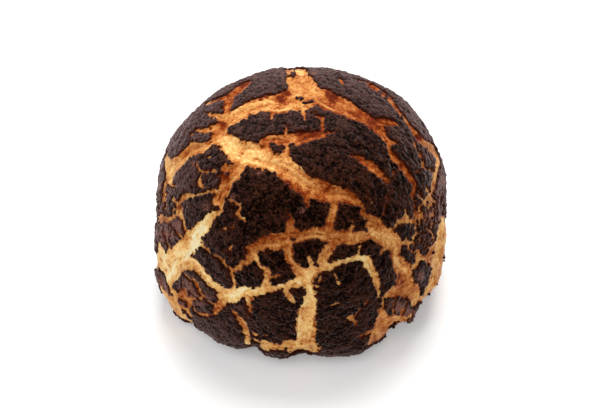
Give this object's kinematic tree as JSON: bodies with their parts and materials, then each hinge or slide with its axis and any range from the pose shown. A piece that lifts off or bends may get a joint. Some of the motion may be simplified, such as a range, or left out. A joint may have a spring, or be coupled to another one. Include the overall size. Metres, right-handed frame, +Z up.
{
  "type": "pineapple bun",
  "caption": "Tall round bread bun with a dark crackled crust broken into plates over golden fissures, on a flat base; prepared food.",
  "frame": {"origin": "middle of the flat base", "axes": "+Z up; the pictured side faces -Y and +X is to its right"},
  "size_m": [0.1038, 0.1041, 0.0761],
  "materials": {
    "bun": "dull scorched crust over golden crumb"
  },
  "bodies": {
    "root": {"bun": "bun"}
  },
  "joints": []
}
